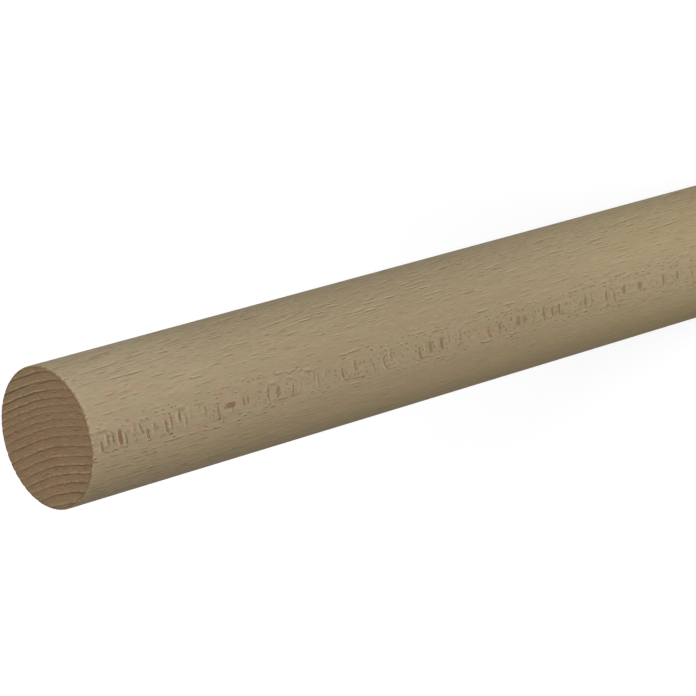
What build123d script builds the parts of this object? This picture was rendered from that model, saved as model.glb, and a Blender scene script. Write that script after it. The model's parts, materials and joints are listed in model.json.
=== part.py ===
from build123d import *
import os

# Round beech dowel rod, standing on one of its two square-cut ends.
# The rod's axis is +Z, and the origin is the middle of the lower end. All lengths are in millimetres.

# Driving dimensions of the rod
rod_diameter = 40.0
rod_length = 300.0
# Rounding of the sharp rim that the saw leaves around each end
rim_radius = 0.4

os.makedirs("parts", exist_ok=True)

# The rod: one round bar of solid wood, cut square at both ends, with both rims lightly rounded
with BuildPart() as dowel_rod:
    with BuildSketch(Plane.XY) as round_section:
        Circle(radius=rod_diameter / 2)
    extrude(to_extrude=round_section.sketch, amount=rod_length)
    end_rims = dowel_rod.edges().filter_by(GeomType.CIRCLE)
    fillet(end_rims, radius=rim_radius)

dowel_rod.part.label = "dowel_rod"
export_step(dowel_rod.part, "parts/dowel_rod.step")
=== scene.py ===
"""A beech dowel rod that stands on its cut end, and the plain studio stage that it is seen on.

The wood is worked out as solid timber. Growth rings circle a pith that lies outside the rod, and rays run
out from it, so the rings on the cut ends, the dashes along the sides and the flecks at the front all belong
to one tree.
"""

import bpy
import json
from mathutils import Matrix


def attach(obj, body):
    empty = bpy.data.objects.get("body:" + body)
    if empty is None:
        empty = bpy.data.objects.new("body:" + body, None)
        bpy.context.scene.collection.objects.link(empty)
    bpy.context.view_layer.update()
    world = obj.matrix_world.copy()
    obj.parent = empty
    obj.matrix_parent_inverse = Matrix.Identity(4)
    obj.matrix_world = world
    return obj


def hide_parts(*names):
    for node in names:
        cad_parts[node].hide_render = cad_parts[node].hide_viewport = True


bl_info = {
    "name": "Beech Dowel Rod",
    "version": (1, 0, 0),
    "blender": (4, 5, 0),
    "location": "3D View > Sidebar > Dowel",
    "description": "A round beech rod with solid grain, and a plain studio stage for it",
    "category": "Object",
}

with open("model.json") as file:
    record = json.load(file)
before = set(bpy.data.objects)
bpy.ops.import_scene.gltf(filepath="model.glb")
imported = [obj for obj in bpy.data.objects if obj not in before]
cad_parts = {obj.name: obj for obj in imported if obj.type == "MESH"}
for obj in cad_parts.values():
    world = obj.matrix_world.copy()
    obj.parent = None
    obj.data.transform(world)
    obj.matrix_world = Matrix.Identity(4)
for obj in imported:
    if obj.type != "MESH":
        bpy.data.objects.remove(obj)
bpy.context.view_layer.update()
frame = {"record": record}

import json
import math
from collections import namedtuple

import bpy
import numpy as np
from bpy.props import FloatProperty, FloatVectorProperty, IntProperty, PointerProperty
from mathutils import Quaternion, Vector, noise

ROD_NODE = "dowel_rod"
ROD_BODY = "root"
ROD_DIAMETER, _, ROD_LENGTH = frame["record"]["size"]["bbox_m"]
ROD_RADIUS = ROD_DIAMETER / 2
# The wood is described in millimetres, and the mesh and the stage in metres
MM_PER_M = 1000.0
RADIUS_MM = ROD_RADIUS * MM_PER_M
LENGTH_MM = ROD_LENGTH * MM_PER_M
# The middle of smooth noise, which runs from 0 to 1
MIDDLE = 0.5


class RodShape(bpy.types.PropertyGroup):
    """Sizes of the rod's mesh, beyond those of the solid that it stands for"""

    rim_radius: FloatProperty(
        name="Rim radius",
        description="Mean rounding of the sawn rim around each end",
        default=0.0004,
        unit="LENGTH",
    )
    rim_tear: FloatProperty(
        name="Rim tear-out",
        description="How much further the rim is worn back where the soft early wood crumbles",
        default=0.0003,
        unit="LENGTH",
    )
    ring_relief: FloatProperty(
        name="Ring relief",
        description="How far the soft early wood lies below the hard late wood on the sawn ends",
        default=0.00004,
        unit="LENGTH",
    )
    end_cells: IntProperty(
        name="End cells",
        description="Mesh cells across each end; the rod has four times as many around its side",
        default=120,
    )
    side_rows: IntProperty(
        name="Side rows",
        description="Rows of mesh cells along the side",
        default=60,
    )


class BeechGrain(bpy.types.PropertyGroup):
    """How the rod was cut from the tree, and the colours of its wood"""

    pith_away: FloatProperty(
        name="Pith distance",
        description="How far the pith lies behind the rod's axis, away from the bark",
        default=0.105,
        unit="LENGTH",
    )
    pith_aside: FloatProperty(
        name="Pith offset",
        description="How far the pith lies to the front of the rod's axis",
        default=0.0165,
        unit="LENGTH",
    )
    grain_tilt: FloatProperty(
        name="Grain tilt",
        description="Angle between the grain and the rod's axis",
        default=math.radians(3.0),
        subtype="ANGLE",
    )
    ring_width: FloatProperty(
        name="Ring width",
        description="Mean width of a growth ring",
        default=0.0024,
        unit="LENGTH",
    )
    side_colour: FloatVectorProperty(
        name="Side",
        description="Sanded wood along the side",
        default=(0.364, 0.297, 0.173),
        subtype="COLOR",
    )
    side_warm: FloatVectorProperty(
        name="Side, warmer",
        description="The pinker patches of the side",
        default=(0.395, 0.284, 0.187),
        subtype="COLOR",
    )
    side_gold: FloatVectorProperty(
        name="Side, yellower",
        description="The yellower wood of the lower half of the rod and of its side away from the bark",
        default=(0.380, 0.288, 0.118),
        subtype="COLOR",
    )
    side_shade: FloatVectorProperty(
        name="Side, darker",
        description="The darker streaks of the side",
        default=(0.325, 0.248, 0.146),
        subtype="COLOR",
    )
    # The paler side colour also paints the highlights beside the dashes, dots, spots and strokes
    side_pale: FloatVectorProperty(
        name="Side, paler",
        description="The paler fibres of the side",
        default=(0.470, 0.376, 0.242),
        subtype="COLOR",
    )
    ray_colour: FloatVectorProperty(
        name="Rays",
        description="Dark edges of the rays",
        default=(0.150, 0.098, 0.050),
        subtype="COLOR",
    )
    fleck_brown: FloatVectorProperty(
        name="Brown flecks",
        description="Rays that show a brown face",
        default=(0.216, 0.153, 0.079),
        subtype="COLOR",
    )
    fleck_red: FloatVectorProperty(
        name="Red flecks",
        description="Rays that show a reddish face",
        default=(0.255, 0.125, 0.072),
        subtype="COLOR",
    )
    end_colour: FloatVectorProperty(
        name="End grain",
        description="Early wood on the sawn ends",
        default=(0.286, 0.195, 0.102),
        subtype="COLOR",
    )
    end_warm: FloatVectorProperty(
        name="End grain, warm",
        description="The redder patches of the sawn ends",
        default=(0.298, 0.186, 0.099),
        subtype="COLOR",
    )
    # The pale end colour also paints the highlights beside the nicks
    end_pale: FloatVectorProperty(
        name="End grain, pale",
        description="The pale start of each ring on the sawn ends",
        default=(0.400, 0.300, 0.185),
        subtype="COLOR",
    )
    end_late: FloatVectorProperty(
        name="Late wood",
        description="The dark line that ends each ring on the sawn ends",
        default=(0.105, 0.062, 0.027),
        subtype="COLOR",
    )


class StudioStage(bpy.types.PropertyGroup):
    """Camera and light of the plain studio stage"""

    lens: FloatProperty(
        name="Lens",
        description="Focal length on a 36 mm sensor",
        default=189.745,
        unit="CAMERA",
    )
    camera_distance: FloatProperty(
        name="Camera distance",
        description="From the camera to the point that it looks at",
        default=1.05786,
        unit="LENGTH",
    )
    camera_azimuth: FloatProperty(
        name="Camera azimuth",
        description="Round the rod from its front",
        default=math.radians(10.4355),
        subtype="ANGLE",
    )
    camera_elevation: FloatProperty(
        name="Camera elevation",
        description="Above the horizon",
        default=math.radians(39.945),
        subtype="ANGLE",
    )
    camera_roll: FloatProperty(
        name="Camera roll",
        description="Turns the picture so that the standing rod lies across it",
        default=math.radians(106.0056),
        subtype="ANGLE",
    )
    aim_below_end: FloatProperty(
        name="Aim below the end",
        description="How far below the upper end the camera looks",
        default=0.110415,
        unit="LENGTH",
    )
    aim_aside: FloatProperty(
        name="Aim aside",
        description="How far beside the rod's axis the camera looks",
        default=0.000929,
        unit="LENGTH",
    )
    key_level: FloatProperty(
        name="Key light",
        description="Brightness that the key light alone gives a white surface facing it",
        default=0.85,
    )
    key_azimuth: FloatProperty(
        name="Key azimuth",
        description="Direction of the key light round the rod from its front",
        default=math.radians(12.0),
        subtype="ANGLE",
    )
    key_elevation: FloatProperty(
        name="Key elevation",
        description="Height of the key light above the horizon",
        default=math.radians(36.0),
        subtype="ANGLE",
    )
    key_softness: FloatProperty(
        name="Key softness",
        description="Angle over which the key light is spread",
        default=math.radians(40.0),
        subtype="ANGLE",
    )
    side_level: FloatProperty(
        name="Side light",
        description="Brightness that the side light alone gives a white surface facing it",
        default=0.33,
    )
    side_azimuth: FloatProperty(
        name="Side light azimuth",
        description="Direction of the side light round the rod from its front",
        default=math.radians(80.0),
        subtype="ANGLE",
    )
    side_elevation: FloatProperty(
        name="Side light elevation",
        description="Height of the side light above the horizon",
        default=math.radians(10.0),
        subtype="ANGLE",
    )
    side_softness: FloatProperty(
        name="Side light softness",
        description="Angle over which the side light is spread",
        default=math.radians(40.0),
        subtype="ANGLE",
    )
    side_tint: FloatVectorProperty(
        name="Side light tint",
        description="Colour of the side light, a little cool",
        default=(0.90, 1.02, 1.08),
        subtype="COLOR",
    )
    back_level: FloatProperty(
        name="Back light",
        description="Brightness that the back light, opposite the key, gives a white surface facing it",
        default=0.50,
    )
    back_elevation: FloatProperty(
        name="Back light elevation",
        description="Height of the back light above the horizon",
        default=math.radians(15.0),
        subtype="ANGLE",
    )
    back_softness: FloatProperty(
        name="Back light softness",
        description="Angle over which the back light is spread",
        default=math.radians(25.0),
        subtype="ANGLE",
    )
    room_level: FloatProperty(
        name="Room light",
        description="Even light from all round",
        default=0.03,
    )
    floor_top_up: FloatProperty(
        name="Floor top-up",
        description="Light added to the floor, where it is seen directly, to bring it up to white",
        default=0.70,
    )
    floor_colour: FloatVectorProperty(
        name="Floor",
        description="Plain pale floor",
        default=(0.50, 0.50, 0.50),
        subtype="COLOR",
    )


class Value:
    """One socket of a node tree, wrapped so that shader maths reads as plain Python."""

    def __init__(self, socket):
        self.socket = socket

    @staticmethod
    def node(tree, kind, settings, sockets, output=0):
        """Add a node: its settings first, then the values or links of its sockets."""
        made = tree.nodes.new(kind)
        for name, setting in settings.items():
            setattr(made, name, setting)
        for key, value in sockets.items():
            if isinstance(value, Value):
                tree.links.new(value.socket, made.inputs[key])
            else:
                made.inputs[key].default_value = value
        return Value(made.outputs[output])

    @property
    def tree(self):
        return self.socket.id_data

    def also(self, output):
        """Another output of the same node."""
        return Value(self.socket.node.outputs[output])

    def sum_of(self, operation, *terms):
        """Add a Math node with those terms, of which this value is one."""
        return Value.node(self.tree, "ShaderNodeMath", {"operation": operation}, dict(enumerate(terms)))

    def math(self, operation, *others):
        """Add a Math node with this value as its first term."""
        return self.sum_of(operation, self, *others)

    def __add__(self, other):
        return self.math("ADD", other)

    def __sub__(self, other):
        return self.math("SUBTRACT", other)

    def __mul__(self, other):
        return self.math("MULTIPLY", other)

    def __truediv__(self, other):
        return self.math("DIVIDE", other)

    def __rsub__(self, other):
        return self.sum_of("SUBTRACT", other, self)

    __radd__ = __add__
    __rmul__ = __mul__


def sine(angle):
    """Sine of a number, an array or a shader value."""
    return angle.math("SINE") if isinstance(angle, Value) else np.sin(angle)


def root(square):
    """Square root of a number, an array or a shader value."""
    return square.math("SQRT") if isinstance(square, Value) else np.sqrt(square)


def turn(rise, run):
    """Angle of a slope, from numbers, arrays or shader values."""
    return rise.math("ARCTAN2", run) if isinstance(rise, Value) else np.arctan2(rise, run)


def part_of_one(count):
    """What a count has past its last whole number."""
    return count.math("FRACT") if isinstance(count, Value) else count - np.floor(count)


# Something that comes in smoothly while a value goes from start to full, whichever of the two is larger, and
# then has its full share
Fade = namedtuple("Fade", "start full share", defaults=(1.0,))


def shown(value, fade):
    """How much of something shows at a number, an array or a shader value, from 0 to its share."""
    if isinstance(value, Value):
        settings = {"interpolation_type": "SMOOTHSTEP"}
        sockets = {"Value": value, "From Min": fade.start, "From Max": fade.full, "To Max": fade.share}
        return Value.node(value.tree, "ShaderNodeMapRange", settings, sockets)
    way = np.clip((value - fade.start) / (fade.full - fade.start), 0.0, 1.0)
    return fade.share * way * way * (3.0 - 2.0 * way)


def between(ends, share):
    """What lies at a share of the way from the first of two ends to the second."""
    first, second = ends
    return first + (second - first) * share


# A wave: half its height, the distance over which its angle grows by one radian, and its angle at zero
Wave = namedtuple("Wave", "height length start")


def wave(where, shape):
    """Height of a wave at a number, an array or a shader value."""
    return shape.height * sine(where / shape.length + shape.start)


def draw(number):
    """A value from 0 to 1 drawn by chance, the same for the same number."""
    return Value.node(number.tree, "ShaderNodeTexWhiteNoise", {"noise_dimensions": "1D"}, {"W": number})


def redraw(drawn, times):
    """A further draw from 0 to 1, made from one that is at hand."""
    return part_of_one(drawn * times)


def split(vector):
    """The three values of a vector or a colour."""
    first = Value.node(vector.tree, "ShaderNodeSeparateXYZ", {}, {0: vector})
    return first, first.also(1), first.also(2)


def place(x, y, z):
    """A vector from three shader values."""
    return Value.node(x.tree, "ShaderNodeCombineXYZ", {}, {"X": x, "Y": y, "Z": z})


# Smooth noise: the three sizes of its lumps, in millimetres, and how rich and how strong its finer lumps are
Lumps = namedtuple("Lumps", "sizes detail roughness", defaults=(2.0, 0.5))


def cloud(lumps, *where):
    """Smooth noise from 0 to 1 at three shader values."""
    vector = place(*(value / size for value, size in zip(where, lumps.sizes)))
    sockets = {"Vector": vector, "Scale": 1.0, "Detail": lumps.detail, "Roughness": lumps.roughness}
    return Value.node(vector.tree, "ShaderNodeTexNoise", {}, sockets)


def nearest(*where):
    """The nearest of many points, scattered about one unit apart: the way from it, and its three draws."""
    vector = place(*where)
    sockets = {"Vector": vector, "Scale": 1.0, "Randomness": 1.0}
    own = Value.node(vector.tree, "ShaderNodeTexVoronoi", {}, sockets)
    ends = {0: vector, 1: own.also("Position")}
    offset = Value.node(vector.tree, "ShaderNodeVectorMath", {"operation": "SUBTRACT"}, ends)
    return split(offset), split(own.also("Color"))


def paint(under, over, share):
    """One colour over another, by a share from 0 to 1. Colours are triples or shader values."""
    sockets = {0: share}
    for key, colour in ((6, under), (7, over)):
        sockets[key] = colour if isinstance(colour, Value) else (*colour, 1.0)
    return Value.node(share.tree, "ShaderNodeMix", {"data_type": "RGBA"}, sockets, output=2)


def coats(colour, *layers):
    """Coats of paint over a colour, in order, each given as its colour and its share."""
    for over, share in layers:
        colour = paint(colour, over, share)
    return colour


# Where a point lies in the timber: rings counted from the pith, and millimetres across the rays, along the
# grain and out from the pith
Timber = namedtuple("Timber", "rings across along outward")
# How the pith wanders along the rod, and how the rings ripple across it, in millimetres. The long ripple
# leans along z and the short one along x.
LONG_WANDER = Wave(height=0.5, length=37.0, start=0.6)
SHORT_WANDER = Wave(height=0.2, length=15.0, start=2.1)
LONG_RIPPLE = Wave(height=0.12, length=4.1, start=0.0)
LONG_RIPPLE_LEAN = 0.068333
SHORT_RIPPLE = Wave(height=0.06, length=1.3, start=1.0)
SHORT_RIPPLE_LEAN = 0.26
# How good and poor years change the widths of the rings: heights in rings, and lengths in millimetres
LONG_RHYTHM = Wave(height=0.30, length=6.1, start=0.0)
SHORT_RHYTHM = Wave(height=0.16, length=2.7, start=1.9)


def timber_at(x, y, z, grain):
    """The timber at a point of the rod, given in millimetres as numbers, arrays or shader values."""
    slope = math.tan(grain.grain_tilt)
    pith_away = grain.pith_away * MM_PER_M
    wander = wave(z, LONG_WANDER) + wave(z, SHORT_WANDER)
    from_pith = x + slope * (z - LENGTH_MM) + pith_away + wander
    aside = y + grain.pith_aside * MM_PER_M
    outward = root(from_pith * from_pith + aside * aside)
    ripple = wave(y + LONG_RIPPLE_LEAN * z, LONG_RIPPLE) + wave(y + SHORT_RIPPLE_LEAN * x, SHORT_RIPPLE)
    rhythm = wave(outward, LONG_RHYTHM) + wave(outward, SHORT_RHYTHM)
    rings = (outward + ripple) / (grain.ring_width * MM_PER_M) + rhythm
    across = turn(aside, from_pith) * pith_away
    along = z - slope * x
    return Timber(rings, across, along, outward)


# Shares of a ring at which its late wood is darkest and stops, and its early wood is palest and fades
LATE_DARKEST = 0.93
LATE_STOPS = 0.96
EARLY_PALEST = 0.04
EARLY_FADES = 0.08


def late_wood(rings, start):
    """The dark line at the end of each growth ring: it rises from its start and stops sharply."""
    share = part_of_one(rings)
    return shown(share, Fade(start, LATE_DARKEST)) * shown(share, Fade(1.0, LATE_STOPS))


def early_wood(rings, end):
    """The pale, open wood at the start of each growth ring, up to its end."""
    share = part_of_one(rings)
    return shown(share, Fade(0.0, EARLY_PALEST)) * shown(share, Fade(end, EARLY_FADES))


# Marks at a point: how dark the mark is there, and how strong the painted highlight along its edge towards
# the bark
Marks = namedtuple("Marks", "dark light")
# How a mark ends: the squared distances at which it is gone and full, and how far aside its painted
# highlight lies, all in halves of its own size
Outline = namedtuple("Outline", "gone full aside")
DASH_OUTLINE = Outline(gone=1.20, full=0.10, aside=1.7)
DOT_OUTLINE = Outline(gone=1.20, full=0.20, aside=1.8)
STROKE_OUTLINE = Outline(gone=1.20, full=0.30, aside=1.9)
NICK_OUTLINE = Outline(gone=1.20, full=0.10, aside=1.6)
# Shares of the largest mark's width and length that are drawn by chance
MARK_WIDTHS = (0.6, 1.0)
MARK_LENGTHS = (0.4, 1.0)


def mark_at(flat, tall, outline, strength):
    """A mark at a point that lies flat and tall, in halves of the mark's own size, from its middle, with its
    painted highlight.
    """
    fade = Fade(outline.gone, outline.full)
    beside = flat - outline.aside
    dark = shown(flat * flat + tall * tall, fade) * strength
    # The painted highlight is the same mark moved aside. It stands in for the lit edge of a ridge
    light = shown(beside * beside + tall * tall, fade) * strength
    return Marks(dark, light)


# Ray ends on the side: the mean distance between them and half the size of the largest, in millimetres
# across and along the grain, the share that is kept, and how strong their painted highlights and dark
# middles are
Dashes = namedtuple("Dashes", "apart half_size kept light dark")
FINE_DASHES = Dashes(apart=(0.5, 3.6), half_size=(0.18, 1.9), kept=0.7, light=0.6, dark=0.42)
BROAD_DASHES = Dashes(apart=(0.8, 6.2), half_size=(0.21, 3.5), kept=0.7, light=0.8, dark=0.62)
LONG_DASHES = Dashes(apart=(1.4, 9.0), half_size=(0.22, 4.0), kept=0.4, light=0.8, dark=0.58)
# How far a ray end goes into the rod, in millimetres, and how strongly weak ones are held back
DASH_DEPTH = 60.0
DASH_POWER = 1.4
# Dashes show where the rays lean enough against the side, and grow no thinner past the least lean
DASH_LEAN = Fade(0.07, 0.14)
LEAST_LEAN = 0.34


def dashes_in(timber, lean, barkward, kind):
    """Ray ends where the side cuts across the rays: thin dashes along the grain."""
    (aside, along, _), (strength, length, width) = nearest(
        timber.across / kind.apart[0], timber.along / kind.apart[1], timber.outward / DASH_DEPTH
    )
    thinned = lean.math("MAXIMUM", LEAST_LEAN) * between(MARK_WIDTHS, width)
    flat = aside * barkward * (kind.apart[0] / kind.half_size[0]) / thinned
    tall = along * (kind.apart[1] / kind.half_size[1]) / between(MARK_LENGTHS, length)
    kept = ((strength - (1.0 - kind.kept)) / kind.kept).math("MAXIMUM", 0.0)
    return mark_at(flat, tall, DASH_OUTLINE, kept.math("POWER", DASH_POWER) * shown(lean, DASH_LEAN))


# Short, thick ray ends about the band of flecks: as the dashes, with a painted highlight beside each, but
# measured across the band, and with the distances from its middle at which they come in and go out
Dots = namedtuple("Dots", "apart half_size kept comes_in goes_out light dark")
BORDER_DOTS = Dots(
    apart=(1.0, 2.4),
    half_size=(0.30, 1.0),
    kept=0.52,
    comes_in=Fade(1.7, 3.0),
    goes_out=Fade(8.0, 3.4),
    light=0.7,
    dark=0.60,
)
# The spots are there from the middle on
BAND_SPOTS = Dots(
    apart=(1.5, 1.4),
    half_size=(0.72, 0.42),
    kept=0.65,
    comes_in=Fade(-1.0, 0.0),
    goes_out=Fade(2.6, 1.8),
    light=0.5,
    dark=0.95,
)
# How far a dot goes into the rod, in millimetres, and the range of draws over which dots become strong
DOT_DEPTH = 25.0
DOT_RANGE = 0.4


def dots_in(timber, y, over_band, kind):
    """Short, thick ray ends along the band of flecks, where the rays lie nearly in the side."""
    (aside, along, _), (strength, length, width) = nearest(
        over_band / kind.apart[0], timber.along / kind.apart[1], y / DOT_DEPTH
    )
    flat = aside * (kind.apart[0] / kind.half_size[0]) / between(MARK_WIDTHS, width)
    tall = along * (kind.apart[1] / kind.half_size[1]) / between(MARK_LENGTHS, length)
    left_out = 1.0 - kind.kept
    kept = shown(strength, Fade(left_out, left_out + DOT_RANGE))
    away = over_band.math("ABSOLUTE")
    return mark_at(flat, tall, DOT_OUTLINE, kept * shown(away, kind.comes_in) * shown(away, kind.goes_out))


# Rays that lie open along the band: the mean distance between the strokes and half the size of the largest,
# in millimetres, and how strong their painted highlights and dark middles are
Strokes = namedtuple("Strokes", "apart half_size light dark")
BAND_STROKES = Strokes(apart=2.3, half_size=(0.60, 2.4), light=0.6, dark=1.00)
# How the strokes waver, how freely they are scattered, and by how many the front and back rows are moved
STROKE_LUMPS = Lumps((9.0, 5.0, 30.0))
STROKE_WAVER = 1.0
STROKE_SCATTER = 0.8
BACK_SHIFT = 40.7
# Ranges of a stroke's bow, of its middle in millimetres across the band, and of its height as a share
STROKE_BOWS = (-0.072, 0.168)
STROKE_MIDDLES = (-1.3, 1.3)
STROKE_HEIGHTS = (0.35, 1.0)
BOW_DRAW = 13.7
MIDDLE_DRAW = 9.1
# Draws at which a stroke shows, and how many fewer and more show far from the upper end and near it, by the
# distance in millimetres
STROKE_KEPT = Fade(0.25, 0.75)
STROKES_FEWER = Fade(100.0, 190.0, share=0.40)
STROKES_MORE = Fade(110.0, 30.0, share=0.15)


def strokes_in(timber, y, over_band, kind):
    """Rays that lie open in the side: bowed strokes across a band. over_band is the way from its middle."""
    waver = (cloud(STROKE_LUMPS, timber.along, over_band, y) - MIDDLE) * STROKE_WAVER
    row = (timber.along + waver) / kind.apart + BACK_SHIFT * y.math("SIGN")
    sockets = {"W": row, "Scale": 1.0, "Randomness": STROKE_SCATTER}
    own = Value.node(row.tree, "ShaderNodeTexVoronoi", {"voronoi_dimensions": "1D"}, sockets)
    strength, chance, width = split(own.also("Color"))
    bow = between(STROKE_BOWS, redraw(width, BOW_DRAW))
    middle = between(STROKE_MIDDLES, redraw(chance, MIDDLE_DRAW))
    offset = (row - own.also("W")) * kind.apart + bow * over_band * over_band
    flat = offset / (kind.half_size[0] * between(MARK_WIDTHS, width))
    tall = (over_band - middle) / (kind.half_size[1] * between(STROKE_HEIGHTS, strength))
    from_end = LENGTH_MM - timber.along
    strength = strength - shown(from_end, STROKES_FEWER) + shown(from_end, STROKES_MORE)
    return mark_at(flat, tall * tall, STROKE_OUTLINE, shown(strength, STROKE_KEPT))


# Filled flecks of the front band: the distance of each from the upper end and half its size, in millimetres,
# and how red it is
FilledFleck = namedtuple("FilledFleck", "from_end half_width half_height red")
FILLED_FLECKS = (
    FilledFleck(from_end=9.5, half_width=0.75, half_height=2.3, red=0.6),
    FilledFleck(from_end=48.3, half_width=2.00, half_height=0.85, red=0.6),
    FilledFleck(from_end=53.2, half_width=0.40, half_height=1.3, red=0.2),
    FilledFleck(from_end=54.8, half_width=0.36, half_height=1.2, red=0.2),
    FilledFleck(from_end=65.9, half_width=0.75, half_height=1.3, red=0.0),
    FilledFleck(from_end=124.0, half_width=0.62, half_height=1.9, red=0.3),
    FilledFleck(from_end=128.5, half_width=0.70, half_height=2.0, red=0.3),
    FilledFleck(from_end=152.1, half_width=0.55, half_height=1.3, red=0.0),
    FilledFleck(from_end=159.8, half_width=0.75, half_height=1.5, red=0.0),
    FilledFleck(from_end=162.1, half_width=0.45, half_height=1.4, red=0.0),
    FilledFleck(from_end=174.0, half_width=0.50, half_height=1.6, red=0.2),
    FilledFleck(from_end=176.8, half_width=0.45, half_height=1.7, red=0.2),
    FilledFleck(from_end=188.0, half_width=0.60, half_height=1.1, red=0.0),
    FilledFleck(from_end=197.0, half_width=0.45, half_height=1.6, red=0.2),
    FilledFleck(from_end=204.6, half_width=0.70, half_height=1.3, red=0.0),
    FilledFleck(from_end=211.6, half_width=0.90, half_height=1.3, red=0.1),
    FilledFleck(from_end=222.0, half_width=0.50, half_height=1.6, red=0.1),
    FilledFleck(from_end=228.3, half_width=0.50, half_height=1.3, red=0.0),
)
FLECK_BOW = 0.08
FLECK_INSIDE = Fade(1.35, 0.55)
FLECK_CORE = Fade(0.80, 0.30)
# How far the core lies aside and up in its fleck, and how ragged flecks are
CORE_ASIDE = 0.4
CORE_UP = 0.2
FLECK_RAGGED = 1.6
FLECK_BROWN_SHARE = 0.60
# The front half of the rod, by y in millimetres
FRONT_HALF = Fade(1.0, -1.0)


def filled_fleck(timber, y, over_band, ragged, fleck):
    """One wide, filled stroke of the front band: how far a point is inside it, and inside its core."""
    offset = timber.along - (LENGTH_MM - fleck.from_end) + FLECK_BOW * over_band * over_band
    flat = offset / fleck.half_width
    tall = over_band / fleck.half_height
    level = flat * flat + tall * tall * tall * tall + ragged
    inside = shown(level, FLECK_INSIDE) * shown(y, FRONT_HALF)
    core = shown(level + CORE_ASIDE * flat - CORE_UP * tall, FLECK_CORE)
    return inside, inside * core


def wood_tree(name):
    """A new material, its tree, its Principled shader and the place of the shaded point, in millimetres."""
    material = bpy.data.materials.new(name)
    material.use_nodes = True
    tree = material.node_tree
    shader = tree.nodes["Principled BSDF"]
    own = Value.node(tree, "ShaderNodeTexCoord", {}, {}, output=3)
    scaled = Value.node(tree, "ShaderNodeVectorMath", {"operation": "SCALE"}, {0: own, "Scale": MM_PER_M})
    return material, tree, shader, split(scaled)


# Level of the faint mirror gloss of bare wood
WOOD_GLOSS = 0.06


def dress(tree, shader, colour, roughness, height, depth):
    """Give the shader what varies over the wood. A height of 1 stands for the depth, in metres."""
    relief = {"Strength": 1.0, "Distance": depth, "Height": height}
    normal = Value.node(tree, "ShaderNodeBump", {}, relief)
    for name, value in (("Base Color", colour), ("Roughness", roughness), ("Normal", normal)):
        tree.links.new(value.socket, shader.inputs[name])
    shader.inputs["Specular IOR Level"].default_value = WOOD_GLOSS


# Smooth noise of the sanded side, by x, y and z
PATCHES = Lumps((3.0, 3.0, 7.0))
BROAD_STREAKS = Lumps((7.0, 7.0, 80.0))
STREAKS = Lumps((0.55, 0.55, 5.0), roughness=0.6)
THREADS = Lumps((0.40, 0.40, 14.0))
FIBRES = Lumps((0.20, 0.20, 2.5), roughness=0.6)
GRIT = Lumps((0.45, 0.45, 0.45), detail=1.0)
SPECKS = Lumps((0.40, 0.40, 0.75), detail=1.0)
TEETH = Lumps((0.8, 0.8, 3.0), detail=1.0)
CROWDS = Lumps((40.0, 40.0, 8.0))
# How that noise is painted
WARM_PATCHES = Fade(0.40, 0.60)
BROAD_SHADE = Fade(0.35, 0.75, share=0.5)
STREAK_SHADE = Fade(0.45, 0.75, share=0.8)
THREAD_SHADE = Fade(0.52, 0.70, share=0.4)
THREAD_PALE = Fade(0.48, 0.30, share=0.2)
FIBRE_PALE = Fade(0.50, 0.75, share=0.5)
SPECK_DARK = Fade(0.60, 0.72, share=0.35)
# Slow changes of the side by the distance from its upper end (END) and by x towards the bark (BARK), both in
# millimetres
GOLD_END = Fade(110.0, 250.0, share=0.38)
GOLD_BARK = Fade(-2.0, -14.0, share=0.24)
SHADE_END = Wave(height=0.5, length=40.0, start=1.5716)
SHADE_BARK = Fade(-12.0, 16.0, share=0.9)
NEAR_PALE_END = Fade(60.0, 25.0)
NEAR_PALE_LEAST = 0.15
NEAR_PALE_BARK = Fade(13.0, 18.0, share=0.22)
FAR_PALE_END = Fade(150.0, 240.0, share=0.35)
FAR_PALE_BARK = (Fade(-16.0, -7.0), Fade(12.0, 2.0))
BOLD_DASH_END = Fade(110.0, 20.0)
BOLD_DASH_BARK = (Fade(0.0, -10.0, share=1.2), Fade(11.0, 16.0, share=0.3))
# Growth rings on the side: shares of a ring for its dark and pale lines, where along each ring they show,
# from how far towards the bark or the pith, in millimetres, and how strong they are
SIDE_LATE_START = 0.80
SIDE_EARLY_END = 0.16
RING_LUMPS = Lumps((1.0, 11.0, 12.0))
RING_SHOWN = Fade(0.46, 0.62)
RING_BARK = Fade(9.0, 15.0)
SIDE_LATE_SHARE = 0.5
SIDE_EARLY_SHARE = 0.6
# From one ring to the next, the noise along them moves on by so many lumps
RING_STEP = 7.3
# How dashes waver across the grain, in millimetres
BEND_LUMPS = Lumps((2.2, 1.5, 30.0))
DASH_BEND = 0.3
# The band of flecks: how far its middle lies from where the rays lie in the side, in millimetres, up to
# which lean it reaches, where flecks crowd in it and crowd more near the upper end, how grit breaks them up,
# and how much of them shows at the back
BAND_OFFSET = 1.0
BAND_LEAN = Fade(0.22, 0.13)
CROWDED = Fade(0.35, 0.47)
CROWDED_END = Fade(38.0, 24.0, share=0.3)
GRIT_LEAST = 0.3
GRIT_BREAKS = Fade(0.36, 0.60, share=0.7)
BACK_SHARE = 0.5
# The rim of the side: how far its teeth reach, where pale chips are torn out and where the dark end begins,
# in millimetres from the end, and at which specks the chips are kept
TEETH_REACH = 2.0
CHIPS_START = Fade(0.35, 0.50)
CHIPS_STOP = Fade(0.90, 0.55)
CHIPS_KEPT = Fade(0.46, 0.60, share=0.9)
RIM_DARK = Fade(0.50, 0.20)
# Finish of the side: roughness between and on fibres, share of the fibres in its relief, and depth in metres
SIDE_ROUGHNESS = (0.62, 0.72)
FIBRE_RELIEF = 0.6
SIDE_DEPTH = 0.00004


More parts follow.
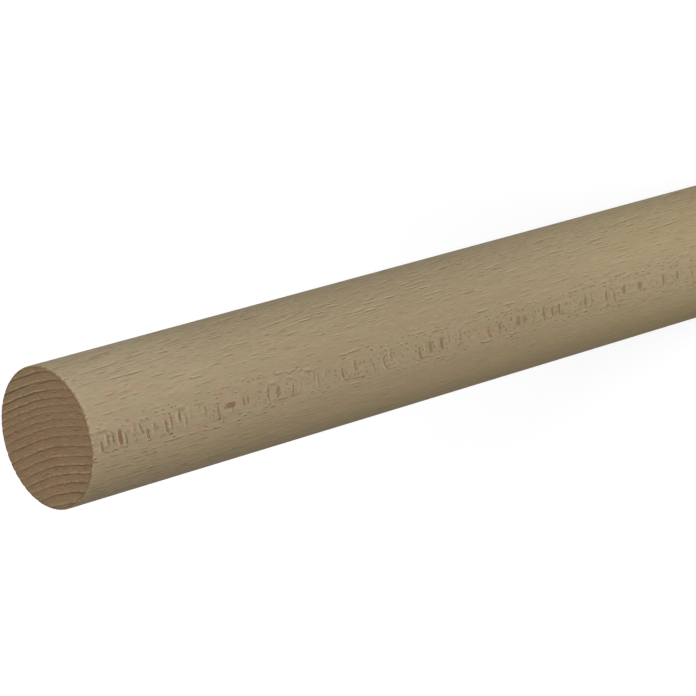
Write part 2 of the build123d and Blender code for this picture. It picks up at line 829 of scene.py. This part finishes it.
def side_grain(grain):
    """Sanded side: faint rings, fine fibres, dashes where rays end and flecks where they lie open."""
    material, tree, shader, (x, y, z) = wood_tree("beech_side_grain")
    timber = timber_at(x, y, z, grain)
    from_end = LENGTH_MM - z
    aside = y + grain.pith_aside * MM_PER_M
    away = root(timber.outward * timber.outward - aside * aside)
    # Distance over the side from the line where the rays lie in it, and how squarely the rays cross the side
    over_band = (x * away + y * aside) / timber.outward + BAND_OFFSET
    lean = over_band.math("ABSOLUTE") / RADIUS_MM
    band = shown(lean, BAND_LEAN)

    threads = cloud(THREADS, x, y, z)
    fibres = cloud(FIBRES, x, y, z)
    grit = cloud(GRIT, x, y, z)
    specks = cloud(SPECKS, x, y, z)
    ring = (timber.rings + MIDDLE).math("FLOOR")
    ring_noise = cloud(RING_LUMPS, ring * RING_STEP, timber.along, timber.across)
    ring_shown = shown(ring_noise, RING_SHOWN) * shown(x.math("ABSOLUTE"), RING_BARK)
    dark_line = late_wood(timber.rings, SIDE_LATE_START) * ring_shown
    pale_line = early_wood(timber.rings, SIDE_EARLY_END) * ring_shown

    near_pale = shown(from_end, NEAR_PALE_END) * (NEAR_PALE_LEAST + shown(x, NEAR_PALE_BARK))
    far_pale = shown(from_end, FAR_PALE_END)
    for fade in FAR_PALE_BARK:
        far_pale = far_pale * shown(x, fade)
    shade = (MIDDLE - wave(from_end, SHADE_END)) * shown(x, SHADE_BARK)
    colour = coats(
        grain.side_colour,
        (grain.side_warm, shown(cloud(PATCHES, x, y, z), WARM_PATCHES)),
        (grain.side_gold, shown(from_end, GOLD_END) + shown(x, GOLD_BARK)),
        (grain.side_shade, shown(cloud(BROAD_STREAKS, x, y, z), BROAD_SHADE) + shade),
        (grain.side_pale, near_pale),
        (grain.side_pale, far_pale),
        (grain.side_shade, shown(cloud(STREAKS, x, y, z), STREAK_SHADE)),
        (grain.side_shade, shown(threads, THREAD_SHADE)),
        (grain.side_pale, shown(threads, THREAD_PALE)),
        (grain.side_pale, shown(fibres, FIBRE_PALE)),
        (grain.side_pale, pale_line * SIDE_EARLY_SHARE),
        (grain.fleck_brown, dark_line * SIDE_LATE_SHARE),
    )

    bend = (cloud(BEND_LUMPS, timber.along, timber.across, timber.outward) - MIDDLE) * DASH_BEND * lean
    timber = timber._replace(across=timber.across + bend)
    barkward = x.math("SIGN")
    fine, broad, long = (
        dashes_in(timber, lean, barkward, kind) for kind in (FINE_DASHES, BROAD_DASHES, LONG_DASHES)
    )
    dots, spots = (dots_in(timber, y, over_band, kind) for kind in (BORDER_DOTS, BAND_SPOTS))
    strokes = strokes_in(timber, y, over_band, BAND_STROKES)
    inner, outer = (shown(x, fade) for fade in BOLD_DASH_BARK)
    bold = 1.0 + inner * shown(from_end, BOLD_DASH_END) + outer
    ray_ends = ((FINE_DASHES, fine), (BROAD_DASHES, broad), (LONG_DASHES, long), (BORDER_DOTS, dots))
    # Each ray end gets a painted highlight in the pale side colour along one edge, then its dark middle
    for kind, marks in ray_ends:
        colour = coats(
            colour,
            (grain.side_pale, marks.light * bold * kind.light),
            (grain.ray_colour, marks.dark * bold * kind.dark),
        )
    colour = paint(colour, grain.ray_colour, shown(specks, SPECK_DARK) * band)

    crowd = shown(cloud(CROWDS, x, y, z) + shown(from_end, CROWDED_END), CROWDED) * band
    front = between((BACK_SHARE, 1.0), shown(y, FRONT_HALF))
    broken = (GRIT_LEAST + shown(grit, GRIT_BREAKS)) * crowd * front
    # Spots and strokes get a painted highlight in the pale side colour beside them, then their dark middles
    for kind, marks in ((BAND_SPOTS, spots), (BAND_STROKES, strokes)):
        colour = coats(
            colour,
            (grain.side_pale, marks.light * crowd * kind.light),
            (grain.fleck_brown, marks.dark * broken * kind.dark),
        )
    ragged = (grit - MIDDLE) * FLECK_RAGGED
    for fleck in FILLED_FLECKS:
        inside, core = filled_fleck(timber, y, over_band, ragged, fleck)
        colour = coats(
            colour,
            (grain.fleck_brown, inside * FLECK_BROWN_SHARE),
            (grain.fleck_red, core * fleck.red),
        )

    half_length = LENGTH_MM / 2
    teeth = (cloud(TEETH, x, y, z) - MIDDLE) * TEETH_REACH
    to_rim = half_length - (z - half_length).math("ABSOLUTE") + teeth
    chips = shown(to_rim, CHIPS_START) * shown(to_rim, CHIPS_STOP) * shown(specks, CHIPS_KEPT)
    colour = coats(
        colour,
        (grain.side_pale, chips),
        (grain.end_colour, shown(to_rim, RIM_DARK)),
    )
    height = between((1.0 - broad.dark, fibres), FIBRE_RELIEF)
    dress(tree, shader, colour, between(SIDE_ROUGHNESS, fibres), height, SIDE_DEPTH)
    return material


# Smooth noise of the sawn ends: by x, y and z for pores and wobble, across the rays, outward and by z for
# patches and streaks, and across the rays, by the ring and by z for late and early wood
PORES = Lumps((0.25, 0.35, 6.0), detail=1.0)
RING_WOBBLE = Lumps((2.5, 4.5, 80.0), detail=4.0, roughness=0.55)
END_PATCHES = Lumps((9.0, 6.0, 80.0), detail=3.0)
END_STREAKS = Lumps((2.4, 0.32, 80.0))
LATE_LUMPS = Lumps((6.0, 1.0, 80.0), detail=3.0)
EARLY_LUMPS = Lumps((1.6, 1.0, 80.0), detail=3.0)
# From one ring to the next, the noise along their pale dashes moves on by so many lumps, from its own start
EARLY_STEP = 5.7
EARLY_START = 3.1
# How that noise is painted
END_WARM = Fade(0.42, 0.60)
RING_DARKENS = Fade(0.25, 0.95, share=0.14)
END_STREAK_PALE = Fade(0.54, 0.74, share=0.45)
END_STREAK_DARK = Fade(0.46, 0.28, share=0.35)
PORE_DARK = Fade(0.50, 0.75, share=0.18)
# Rings on the sawn ends: how far they wobble, in rings, the shares of a ring for its dark line and pale
# dashes, and where along each ring they show
WOBBLE_REACH = 0.16
END_LATE_START = 0.76
END_EARLY_END = 0.26
LATE_SHOWN = Fade(0.22, 0.55)
EARLY_SHOWN = Fade(0.38, 0.60)
# How heavy the rings are: all of them, by a swell out from the pith and by chance, and where they fade over
# the end, by y and x in millimetres
RING_WEIGHT = 0.60
RING_SWELL = Wave(height=0.30, length=3.74, start=0.63)
RING_CHANCE = 0.35
FADE_WEIGHTS = (0.45, 1.05)
FADE_LEFT = Fade(-16.0, 10.0)
FADE_LOW = Fade(-2.0, -9.0)
# Short nicks along the rings: mean distances across the rays and outward, half width, half lengths and depth
# into the rod, in millimetres, the draws at which they show, and how strong their painted highlights and
# dark middles are
NICKS_APART = (2.6, 0.8)
NICK_HALF_WIDTH = 0.17
NICK_HALF_LENGTHS = (0.4, 1.9)
NICK_DEPTH = 80.0
NICK_KEPT = Fade(0.84, 1.00)
NICK_HIGHLIGHT = 0.6
NICK_DARK = 0.7
# The dark edge of the sawn ends: where it begins, and how pores fray it, in millimetres from the side
EDGE_DARK = Fade(0.75, 0.45, share=0.7)
EDGE_FRAY = 1.2
# Finish of the sawn ends: roughness between and in pores, how much smoother late wood is, share of the rings
# in the relief, and depth in metres
END_ROUGHNESS = (0.78, 0.88)
LATE_SMOOTHER = 0.06
LATE_RELIEF = 0.5
END_DEPTH = 0.00005


def end_grain(grain):
    """Sawn end: dark late wood lines with pale dashes beside them, fine streaks and open pores."""
    material, tree, shader, (x, y, z) = wood_tree("beech_end_grain")
    timber = timber_at(x, y, z, grain)
    patches = cloud(END_PATCHES, timber.across, timber.outward, z)
    streaks = cloud(END_STREAKS, timber.across, timber.outward, z)
    pores = cloud(PORES, x, y, z)
    rings = timber.rings + (cloud(RING_WOBBLE, x, y, z) - MIDDLE) * WOBBLE_REACH
    ring = rings.math("FLOOR")

    leftward = shown(y, FADE_LEFT)
    fading = between((leftward, 1.0 - leftward), shown(x, FADE_LOW))
    heavy = RING_WEIGHT + wave(timber.outward, RING_SWELL) + RING_CHANCE * draw(ring)
    heavy = heavy * between(FADE_WEIGHTS, fading)
    late_shown = shown(cloud(LATE_LUMPS, timber.across, ring * RING_STEP, z), LATE_SHOWN)
    early_noise = cloud(EARLY_LUMPS, timber.across, ring * EARLY_STEP + EARLY_START, z)
    late = late_wood(rings, END_LATE_START) * late_shown * heavy
    early = early_wood(rings, END_EARLY_END) * shown(early_noise, EARLY_SHOWN) * heavy

    (along, out, _), (strength, length, _) = nearest(
        timber.across / NICKS_APART[0], timber.outward / NICKS_APART[1], z / NICK_DEPTH
    )
    flat = out * (NICKS_APART[1] / NICK_HALF_WIDTH)
    tall = along * NICKS_APART[0] / between(NICK_HALF_LENGTHS, length)
    nicks = mark_at(flat, tall, NICK_OUTLINE, shown(strength, NICK_KEPT))

    to_side = RADIUS_MM - root(x * x + y * y)
    frayed = to_side + (pores - MIDDLE) * EDGE_FRAY
    colour = coats(
        grain.end_colour,
        (grain.end_warm, shown(patches, END_WARM)),
        (grain.end_late, shown(part_of_one(rings), RING_DARKENS)),
        (grain.end_pale, shown(streaks, END_STREAK_PALE)),
        (grain.end_late, shown(streaks, END_STREAK_DARK)),
        (grain.end_late, shown(pores, PORE_DARK)),
        (grain.end_pale, early),
        # Each nick gets a painted highlight in the pale end colour beside it, then its dark middle
        (grain.end_pale, nicks.light * NICK_HIGHLIGHT),
        (grain.end_late, nicks.dark * NICK_DARK),
        (grain.end_late, late),
        (grain.end_late, shown(frayed, EDGE_DARK)),
    )
    roughness = between(END_ROUGHNESS, pores) - LATE_SMOOTHER * late
    dress(tree, shader, colour, roughness, between((1.0 - pores, late), LATE_RELIEF), END_DEPTH)
    return material


def disc_grid(cells):
    """A unit disc as a square grid: its points, its outer points from -45 degrees on, and its faces."""
    steps = np.linspace(-1.0, 1.0, cells + 1)
    across, up = np.meshgrid(steps, steps, indexing="ij")
    wide = np.abs(across) > np.abs(up)
    reach = np.where(wide, across, up)
    safe = np.where(reach == 0.0, 1.0, reach)
    angle = np.where(wide, math.pi / 4 * up / safe, math.pi / 2 - math.pi / 4 * across / safe)
    points = np.stack([reach * np.cos(angle), reach * np.sin(angle)], axis=-1).reshape(-1, 2)
    index = np.arange(points.shape[0]).reshape(cells + 1, cells + 1)
    outer = np.concatenate([index[-1, :-1], index[:0:-1, -1], index[0, :0:-1], index[:-1, 0]])
    corners = [index[:-1, :-1], index[1:, :-1], index[1:, 1:], index[:-1, 1:]]
    faces = np.stack(corners, axis=-1).reshape(-1, 4)
    return points, outer, faces


# Share of a ring up to which its early wood crumbles at the rim, and how uneven the rim is elsewhere
CRUMBLE_END = 0.40
RIM_UNEVEN = 0.3
# Share of a ring at which its late wood begins to stand proud of the sawn ends
PROUD_START = 0.60
# How soon the grid of an end takes up the uneven rim: the higher, the closer to the rim
RIM_POWER = 8
# Rows of mesh cells over each rounded rim
RIM_ROWS = 4


def rim_width(directions, z, shape, grain):
    """Width of the rounded rim in each direction round an end: wider where early wood has crumbled."""
    edge = directions * RADIUS_MM
    rings = timber_at(edge[:, 0], edge[:, 1], z * MM_PER_M, grain).rings
    uneven = np.array([noise.noise(Vector((*point, z * MM_PER_M))) for point in edge])
    crumbled = early_wood(rings, CRUMBLE_END) * (1.0 + uneven) / 2
    return shape.rim_radius * (1.0 + RIM_UNEVEN * uneven) + shape.rim_tear * crumbled


def sawn_end(points, widths, outer, z, inward, shape, grain):
    """Points of one sawn end, with its late wood standing proud. inward is the way into the rod along z."""
    reach = np.hypot(points[:, 0], points[:, 1])
    angle = np.arctan2(points[:, 1], points[:, 0])
    order = np.argsort(angle[outer])
    width = np.interp(angle, angle[outer][order], widths[order], period=2 * math.pi)
    mean = widths.mean()
    flat = points * (ROD_RADIUS - mean - (width - mean) * reach**RIM_POWER)[:, None]
    rings = timber_at(flat[:, 0] * MM_PER_M, flat[:, 1] * MM_PER_M, z * MM_PER_M, grain).rings
    sunk = shape.ring_relief * (1.0 - late_wood(rings, PROUD_START))
    return np.column_stack([flat, z + inward * sunk])


def rim_rows(directions, start, foot, widths):
    """Rows of points over a rounded rim, from the edge of the sawn end at start to the side at foot."""
    rows = []
    for step in np.linspace(0.0, math.pi / 2, RIM_ROWS + 1)[1:]:
        radius = ROD_RADIUS - widths * (1.0 - math.sin(step))
        height = between((start, foot), 1.0 - math.cos(step))
        rows.append(np.column_stack([directions * radius[:, None], height]))
    return rows


def rod_mesh(shape, grain):
    """The rod: two sawn ends with their rings in relief, two worn rims and the round side between them."""
    points, outer, cells = disc_grid(shape.end_cells)
    directions = points[outer]
    around = len(outer)
    upper_width = rim_width(directions, ROD_LENGTH, shape, grain)
    lower_width = rim_width(directions, 0.0, shape, grain)
    upper = sawn_end(points, upper_width, outer, ROD_LENGTH, -1.0, shape, grain)
    lower = sawn_end(points, lower_width, outer, 0.0, 1.0, shape, grain)

    # Rows of points down the side, from the upper rim to the lower one
    upper_foot = ROD_LENGTH - upper_width
    rows = rim_rows(directions, upper[outer, 2], upper_foot, upper_width)
    for share in np.linspace(0.0, 1.0, shape.side_rows + 1)[1:-1]:
        height = between((upper_foot, lower_width), share)
        rows.append(np.column_stack([directions * ROD_RADIUS, height]))
    rows += reversed(rim_rows(directions, lower[outer, 2], lower_width, lower_width))

    vertices = np.concatenate([upper, *rows, lower])
    lower_first = len(upper) + len(rows) * around
    loops = [outer]
    loops += [len(upper) + row * around + np.arange(around) for row in range(len(rows))]
    loops += [lower_first + outer]
    faces = [cells]
    for above, below in zip(loops[:-1], loops[1:]):
        faces.append(np.stack([above, below, np.roll(below, -1), np.roll(above, -1)], axis=-1))
    faces.append(lower_first + cells[:, ::-1])
    mesh = bpy.data.meshes.new("dowel_rod_wood")
    mesh.from_pydata(vertices.tolist(), [], np.concatenate(faces).tolist())
    is_end = np.zeros(len(mesh.polygons), dtype=np.int32)
    is_end[: len(cells)] = 1
    is_end[-len(cells):] = 1
    mesh.polygons.foreach_set("material_index", is_end)
    mesh.polygons.foreach_set("use_smooth", np.ones(len(mesh.polygons), dtype=bool))
    lay_out_map(mesh, points, cells, around, len(loops) - 1)
    mesh.update()
    return mesh


# The map of the mesh: share of its width that the side takes, and the margin round each piece
SHEET_WIDTH = 0.75
MAP_MARGIN = 0.008


def lay_out_map(mesh, points, cells, around, bands):
    """A map without overlaps: the side as one sheet at the left, and the two ends as discs at the right."""
    disc_column = (SHEET_WIDTH + 1.0) / 2
    disc_radius = (1.0 - SHEET_WIDTH) / 2 - MAP_MARGIN
    disc_height = disc_radius + MAP_MARGIN
    upper = points[cells].reshape(-1, 2) * disc_radius + (disc_column, 1.0 - disc_height)
    lower = points[cells[:, ::-1]].reshape(-1, 2) * disc_radius + (disc_column, disc_height)
    left = np.arange(around) / around
    right = left + 1.0 / around
    columns = np.stack([left, left, right, right], axis=-1) * (SHEET_WIDTH - 2 * MAP_MARGIN) + MAP_MARGIN
    heights = np.linspace(1.0 - MAP_MARGIN, MAP_MARGIN, bands + 1)
    sheet = []
    for above, below in zip(heights[:-1], heights[1:]):
        levels = np.broadcast_to([above, below, below, above], columns.shape)
        sheet.append(np.stack([columns, levels], axis=-1).reshape(-1, 2))
    layout = np.concatenate([upper, *sheet, lower])
    mesh.uv_layers.new(name="OFBake").data.foreach_set("uv", layout.ravel())


# How far the floor reaches from the rod, and the shares of the camera's distance between which it sees
FLOOR_REACH = 40 * ROD_LENGTH
CLIP_NEAR = 0.01
CLIP_FAR = 100.0
WHITE = (1.0, 1.0, 1.0)


def towards(azimuth, elevation):
    """Direction from the rod to something round it at an azimuth from the front and an elevation."""
    level = math.cos(elevation)
    return Vector((math.sin(azimuth) * level, -math.cos(azimuth) * level, math.sin(elevation)))


def add_sun(name, level, direction, softness, colour=WHITE):
    """A soft distant lamp that gives a white surface facing it that brightness."""
    lamp = bpy.data.lights.new(name, "SUN")
    lamp.energy = level * math.pi
    lamp.color = colour
    lamp.angle = softness
    holder = bpy.data.objects.new(name, lamp)
    holder.rotation_mode = "QUATERNION"
    holder.rotation_quaternion = direction.to_track_quat("Z", "Y")
    bpy.context.scene.collection.objects.link(holder)


def seen_directly(tree):
    """1 for what is seen straight, in a mirror or through glass, and 0 for light that falls on the rod."""
    camera, glossy, through = (
        Value.node(tree, "ShaderNodeLightPath", {}, {}, output=name)
        for name in ("Is Camera Ray", "Is Glossy Ray", "Is Transmission Ray")
    )
    return camera.math("MAXIMUM", glossy).math("MAXIMUM", through)


def pale_floor(stage):
    """A wide floor that keeps the rod's shadow and is topped up to white where it is seen."""
    corners = [(x, y, 0.0) for x, y in ((-1, -1), (1, -1), (1, 1), (-1, 1))]
    mesh = bpy.data.meshes.new("pale_floor")
    mesh.from_pydata([Vector(corner) * FLOOR_REACH for corner in corners], [], [(0, 1, 2, 3)])
    material = bpy.data.materials.new("pale_floor")
    material.use_nodes = True
    tree = material.node_tree
    matt = Value.node(tree, "ShaderNodeBsdfDiffuse", {}, {"Color": (*stage.floor_colour, 1.0)})
    top_up = {"Strength": seen_directly(tree) * stage.floor_top_up}
    glow = Value.node(tree, "ShaderNodeEmission", {}, top_up)
    both = Value.node(tree, "ShaderNodeAddShader", {}, {0: matt, 1: glow})
    tree.links.new(both.socket, tree.nodes["Material Output"].inputs["Surface"])
    mesh.materials.append(material)
    floor = bpy.data.objects.new("pale_floor", mesh)
    bpy.context.scene.collection.objects.link(floor)
    return floor


def white_room(stage):
    """Even light from all round, seen as white."""
    world = bpy.data.worlds.new("white_room")
    world.use_nodes = True
    tree = world.node_tree
    background = tree.nodes["Background"]
    level = between((stage.room_level, 1.0), seen_directly(tree))
    tree.links.new(level.socket, background.inputs["Strength"])
    background.inputs["Color"].default_value = (*WHITE, 1.0)
    bpy.context.scene.world = world


def photo_camera(stage):
    """The camera: it looks down on the upper end, rolled so that the rod lies across the picture."""
    data = bpy.data.cameras.new("photo_camera")
    data.lens = stage.lens
    data.clip_start = stage.camera_distance * CLIP_NEAR
    data.clip_end = stage.camera_distance * CLIP_FAR
    camera = bpy.data.objects.new("photo_camera", data)
    back = towards(stage.camera_azimuth, stage.camera_elevation)
    aim = Vector((stage.aim_aside, 0.0, ROD_LENGTH - stage.aim_below_end))
    camera.location = aim + back * stage.camera_distance
    camera.rotation_mode = "QUATERNION"
    level = back.to_track_quat("Z", "Y")
    roll = Quaternion((0.0, 0.0, 1.0), -stage.camera_roll)
    camera.rotation_quaternion = level @ roll
    bpy.context.scene.collection.objects.link(camera)
    bpy.context.scene.camera = camera


class DOWEL_OT_make_rod(bpy.types.Operator):
    """Make the wooden rod in place of its plain solid"""

    bl_idname = "dowel.make_rod"
    bl_label = "Make Rod"

    def execute(self, context):
        shape = context.scene.dowel_shape
        grain = context.scene.dowel_grain
        mesh = rod_mesh(shape, grain)
        mesh.materials.append(side_grain(grain))
        mesh.materials.append(end_grain(grain))
        rod = bpy.data.objects.new("beech_rod", mesh)
        context.scene.collection.objects.link(rod)
        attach(rod, ROD_BODY)
        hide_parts(ROD_NODE)
        return {"FINISHED"}


class DOWEL_OT_set_stage(bpy.types.Operator):
    """Set the floor, the light and the camera"""

    bl_idname = "dowel.set_stage"
    bl_label = "Set Stage"

    def execute(self, context):
        stage = context.scene.dowel_stage
        context.scene.view_settings.view_transform = "Standard"
        pale_floor(stage)
        white_room(stage)
        key = towards(stage.key_azimuth, stage.key_elevation)
        add_sun("key_light", stage.key_level, key, stage.key_softness)
        beside = towards(stage.side_azimuth, stage.side_elevation)
        add_sun("side_light", stage.side_level, beside, stage.side_softness, stage.side_tint)
        behind = towards(stage.key_azimuth + math.pi, stage.back_elevation)
        add_sun("back_light", stage.back_level, behind, stage.back_softness)
        photo_camera(stage)
        return {"FINISHED"}


class DOWEL_PT_panel(bpy.types.Panel):
    """Lists the rod's and the stage's settings and operators"""

    bl_idname = "DOWEL_PT_panel"
    bl_label = "Beech Dowel Rod"
    bl_space_type = "VIEW_3D"
    bl_region_type = "UI"
    bl_category = "Dowel"

    def draw(self, context):
        column = self.layout.column()
        for operator in (DOWEL_OT_make_rod, DOWEL_OT_set_stage):
            column.operator(operator.bl_idname)
        for group in (context.scene.dowel_shape, context.scene.dowel_grain, context.scene.dowel_stage):
            for name in group.__annotations__:
                column.prop(group, name)


CLASSES = (
    RodShape,
    BeechGrain,
    StudioStage,
    DOWEL_OT_make_rod,
    DOWEL_OT_set_stage,
    DOWEL_PT_panel,
)


def register():
    for made in CLASSES:
        bpy.utils.register_class(made)
    bpy.types.Scene.dowel_shape = PointerProperty(type=RodShape)
    bpy.types.Scene.dowel_grain = PointerProperty(type=BeechGrain)
    bpy.types.Scene.dowel_stage = PointerProperty(type=StudioStage)


def unregister():
    del bpy.types.Scene.dowel_stage
    del bpy.types.Scene.dowel_grain
    del bpy.types.Scene.dowel_shape
    for made in reversed(CLASSES):
        bpy.utils.unregister_class(made)


def main():
    register()
    bpy.ops.dowel.make_rod()
    bpy.ops.dowel.set_stage()


if __name__ == "__main__":
    main()
